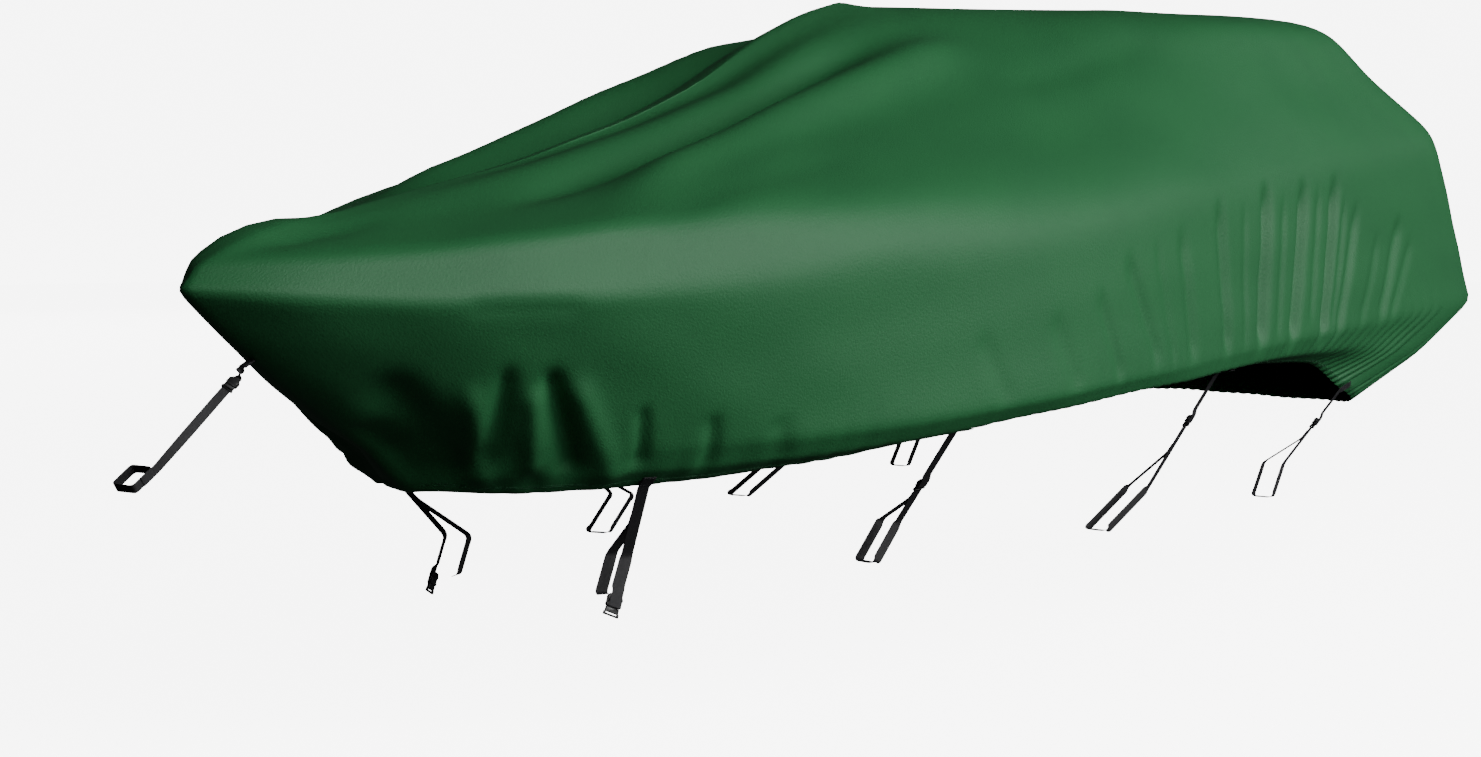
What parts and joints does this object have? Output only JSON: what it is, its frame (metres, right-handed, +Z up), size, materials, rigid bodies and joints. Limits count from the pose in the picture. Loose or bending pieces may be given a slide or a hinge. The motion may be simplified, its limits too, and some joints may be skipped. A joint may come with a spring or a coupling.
{
  "type": "boat cover",
  "caption": "Fitted boat cover of coated cloth in its strapped-down shape: peaked bow, raised flat top, turned-under elastic hem and webbing ties with buckles and loops.",
  "frame": {"origin": "the under side of the cloth at the middle of the raised top, where the cover rests on what it covers", "axes": "+X aft along the cover's length, -Y to port, +Z up"},
  "size_m": [5.6149, 2.1998, 1.7227],
  "materials": {
    "green_coated_cloth": "green coated polyester, soft sheen",
    "black_webbing": "black woven polyester webbing, matt",
    "black_acetal": "black moulded acetal, satin"
  },
  "bodies": {
    "root": {"cover": "green_coated_cloth", "tie_1_port_tail": "black_webbing", "tie_1_port_socket": "black_acetal", "tie_1_port_plug": "black_acetal", "tie_1_port_loop": "black_webbing", "tie_2_port_tail": "black_webbing", "tie_2_port_socket": "black_acetal", "tie_2_port_plug": "black_acetal", "tie_2_port_loop": "black_webbing", "tie_3_port_tail": "black_webbing", "tie_3_port_socket": "black_acetal", "tie_3_port_plug": "black_acetal", "tie_3_port_loop": "black_webbing", "tie_4_port_tail": "black_webbing", "tie_4_port_socket": "black_acetal", "tie_4_port_plug": "black_acetal", "tie_4_port_loop": "black_webbing", "tie_1_starboard_tail": "black_webbing", "tie_1_starboard_socket": "black_acetal", "tie_1_starboard_plug": "black_acetal", "tie_1_starboard_loop": "black_webbing", "tie_2_starboard_tail": "black_webbing", "tie_2_starboard_socket": "black_acetal", "tie_2_starboard_plug": "black_acetal", "tie_2_starboard_loop": "black_webbing", "tie_3_starboard_tail": "black_webbing", "tie_3_starboard_socket": "black_acetal", "tie_3_starboard_plug": "black_acetal", "tie_3_starboard_loop": "black_webbing", "tie_4_starboard_tail": "black_webbing", "tie_4_starboard_socket": "black_acetal", "tie_4_starboard_plug": "black_acetal", "tie_4_starboard_loop": "black_webbing", "bow_tie_tab": "black_webbing", "bow_tie_tail": "black_webbing", "bow_tie_socket": "black_acetal", "bow_tie_plug": "black_acetal", "bow_tie_strand": "black_webbing", "bow_tie_band": "black_webbing"}
  },
  "joints": []
}
